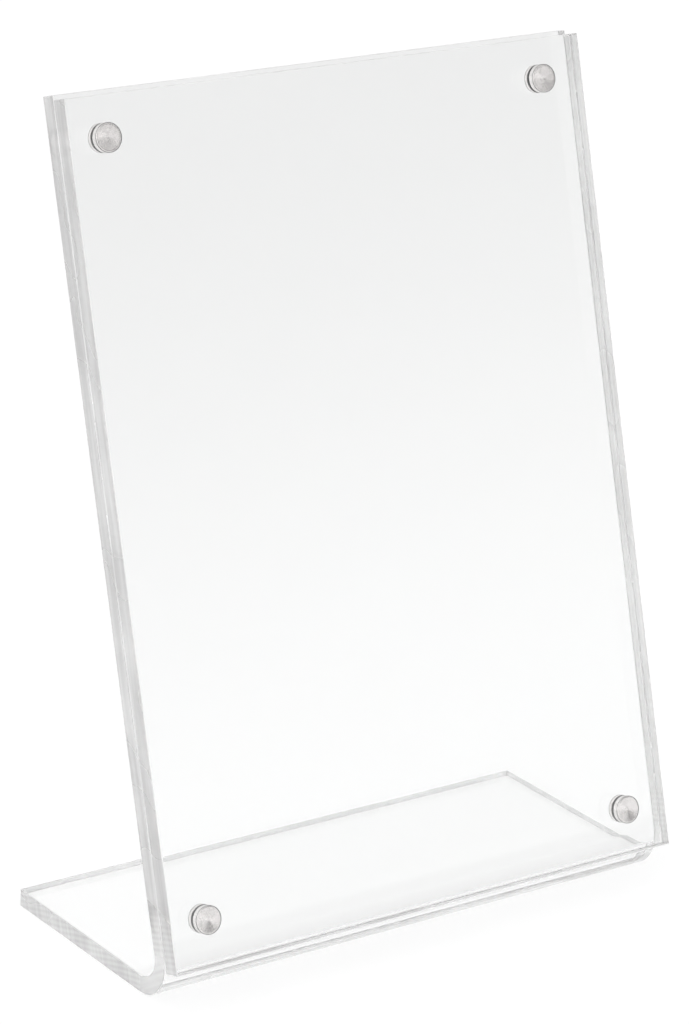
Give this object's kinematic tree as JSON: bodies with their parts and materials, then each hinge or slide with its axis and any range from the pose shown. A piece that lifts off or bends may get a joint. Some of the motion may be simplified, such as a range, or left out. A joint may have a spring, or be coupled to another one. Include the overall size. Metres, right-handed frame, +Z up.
{
  "type": "photo stand",
  "caption": "Clear acrylic tabletop photo stand with a slanted back sheet bent into a base and a loose front panel held on by corner magnets.",
  "frame": {"origin": "on the table, under the middle of the stand's bounding box", "axes": "+X to the right as the stand is looked at from the front, +Y from the front panel towards the back of the base, +Z up"},
  "size_m": [0.127, 0.0616, 0.1791],
  "materials": {
    "clear_acrylic": "clear cast acrylic sheet, polished faces, saw-cut and flame-polished edges",
    "magnet_nickel": "nickel-plated magnet disc with turned concentric marks on its face"
  },
  "bodies": {
    "stand": {"back_stand": "clear_acrylic", "rear_magnet_bottom_left": "magnet_nickel", "rear_magnet_bottom_right": "magnet_nickel", "rear_magnet_top_left": "magnet_nickel", "rear_magnet_top_right": "magnet_nickel"},
    "front_panel": {"front_panel": "clear_acrylic", "front_magnet_bottom_left": "magnet_nickel", "front_magnet_bottom_right": "magnet_nickel", "front_magnet_top_left": "magnet_nickel", "front_magnet_top_right": "magnet_nickel"}
  },
  "joints": [
    {"name": "front_panel_pull", "type": "slide", "parent": "stand", "child": "front_panel", "axis": [0, -0.9636, 0.2672], "range_m": [0, 0.04]}
  ]
}
